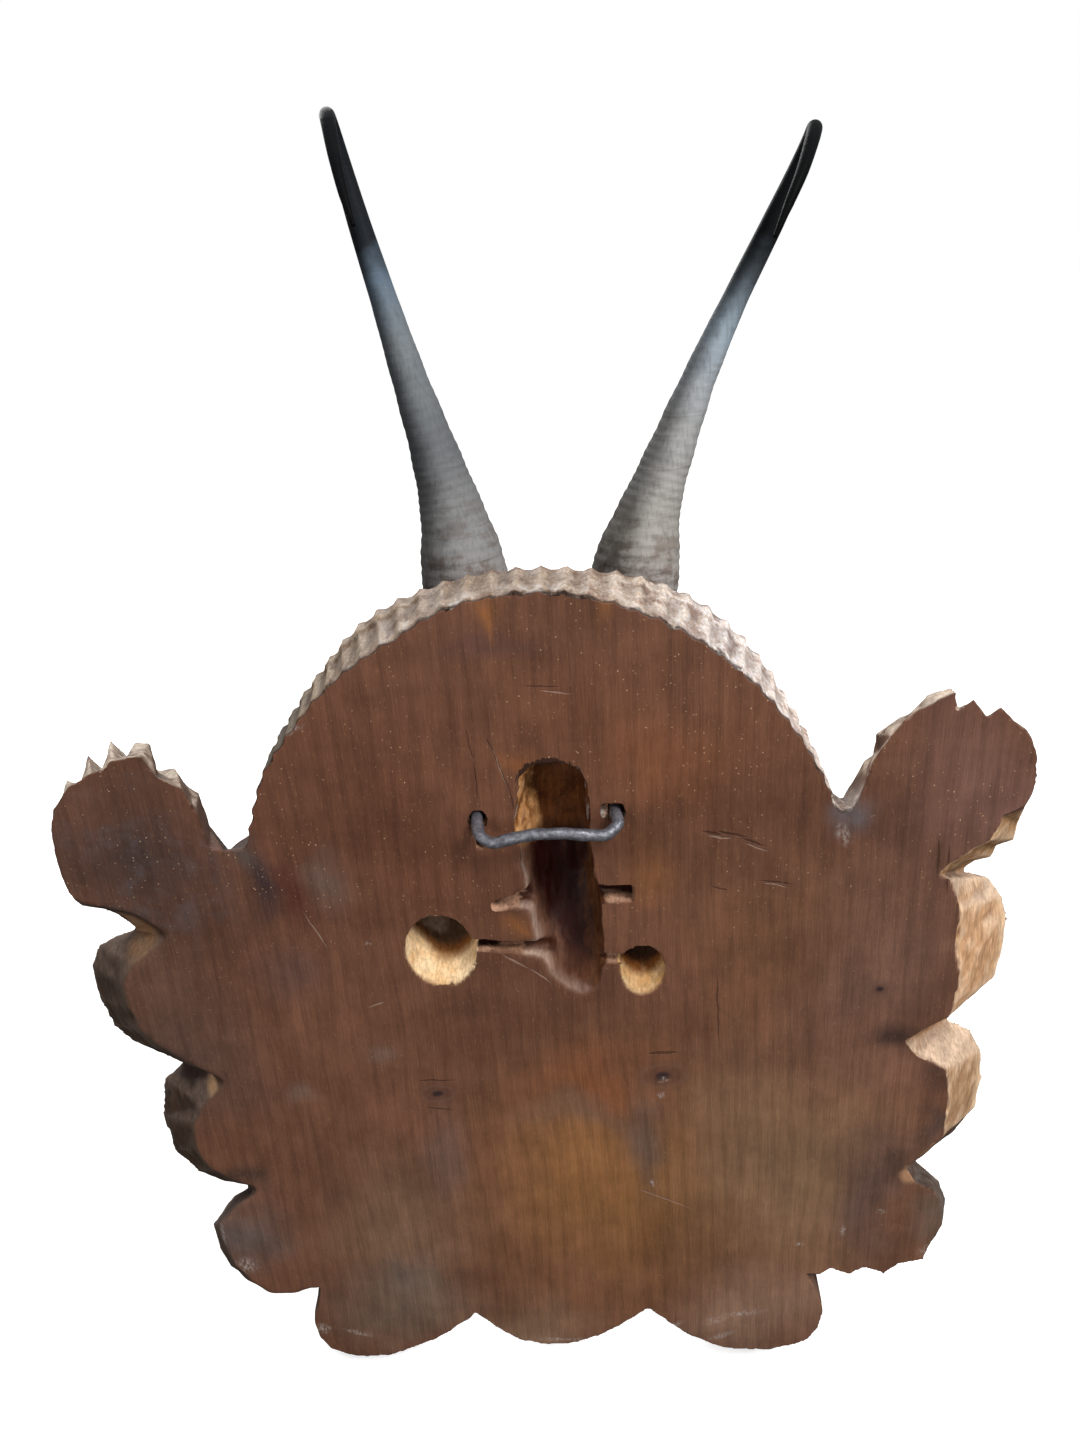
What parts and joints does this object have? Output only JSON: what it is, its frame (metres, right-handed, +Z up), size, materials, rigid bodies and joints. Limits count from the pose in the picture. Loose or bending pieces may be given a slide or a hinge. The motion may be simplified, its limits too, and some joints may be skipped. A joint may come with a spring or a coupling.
{
  "type": "chamois horn trophy",
  "caption": "Carved wooden trophy plaque with leaf lobes and a fluted dome, a skull cap with two hooked chamois horns in front, and a wire staple behind to hang it by.",
  "frame": {"origin": "on the plaque's flat back face, on the wood below the hanger pocket", "axes": "+Z up along the plaque's height, +Y out of the back face towards the wall, the carved front faces -Y"},
  "size_m": [0.373, 0.0992, 0.527],
  "materials": {
    "carved_wood": "old stain, worn, satin",
    "horn": "horn, satin at the base and polished towards the tip",
    "bone": "dry bone, matte",
    "forged_iron": "dark forge scale, slightly rusty"
  },
  "bodies": {
    "root": {"plaque": "carved_wood", "skull_cap": "bone", "horn_left": "horn", "horn_right": "horn", "hanger_staple": "forged_iron", "screw_upper": "forged_iron", "screw_lower": "forged_iron"}
  },
  "joints": []
}
